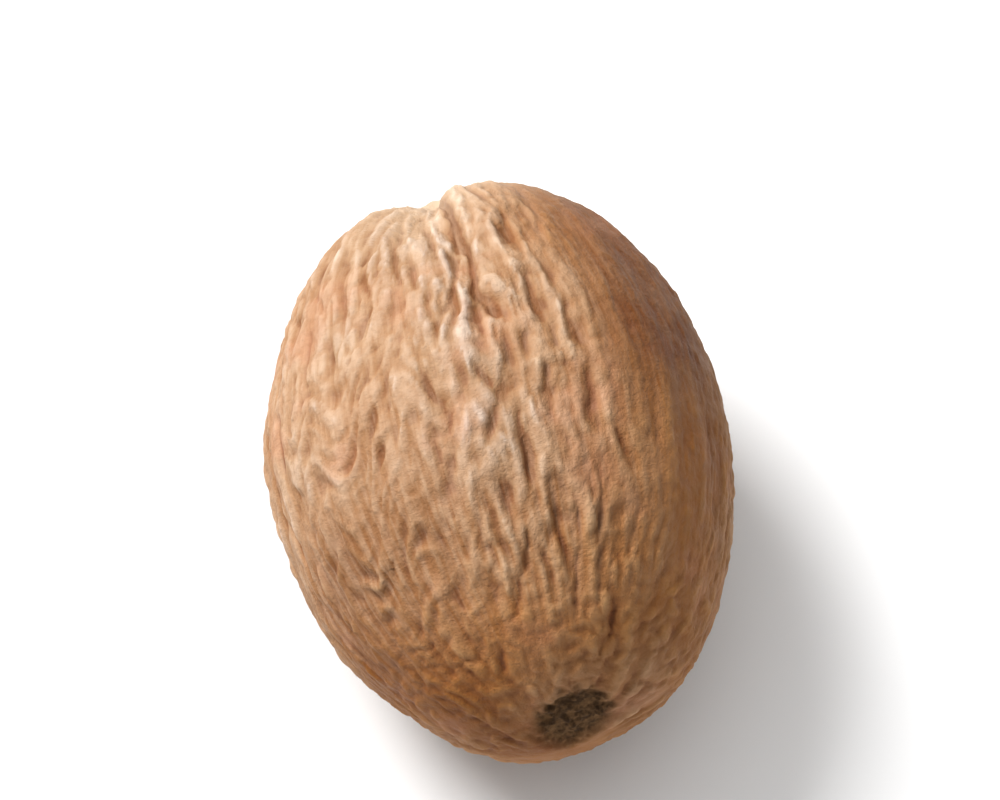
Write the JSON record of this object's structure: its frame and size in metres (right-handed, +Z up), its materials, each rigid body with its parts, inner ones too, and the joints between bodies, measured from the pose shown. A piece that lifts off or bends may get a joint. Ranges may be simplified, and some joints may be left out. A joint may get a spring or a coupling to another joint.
{
  "type": "whole nutmeg",
  "caption": "Whole dried nutmeg lying on its side: an egg-shaped tan kernel with lengthwise furrows, a pale seed scar at one end and a dark spot at the other.",
  "frame": {"origin": "on the floor, under the middle of the seed's box as it lies on its resting spot", "axes": "+Z up, away from the floor; +Y along the seed's long axis towards the pale seed scar (hilum), so that the dark chalaza is at -Y; the raphe groove lies on top"},
  "size_m": [0.0202, 0.0266, 0.0196],
  "materials": {
    "nutmeg_skin": "dry furrowed seed skin, matt with a faint waxy sheen"
  },
  "bodies": {
    "root": {"nutmeg": "nutmeg_skin"}
  },
  "joints": []
}
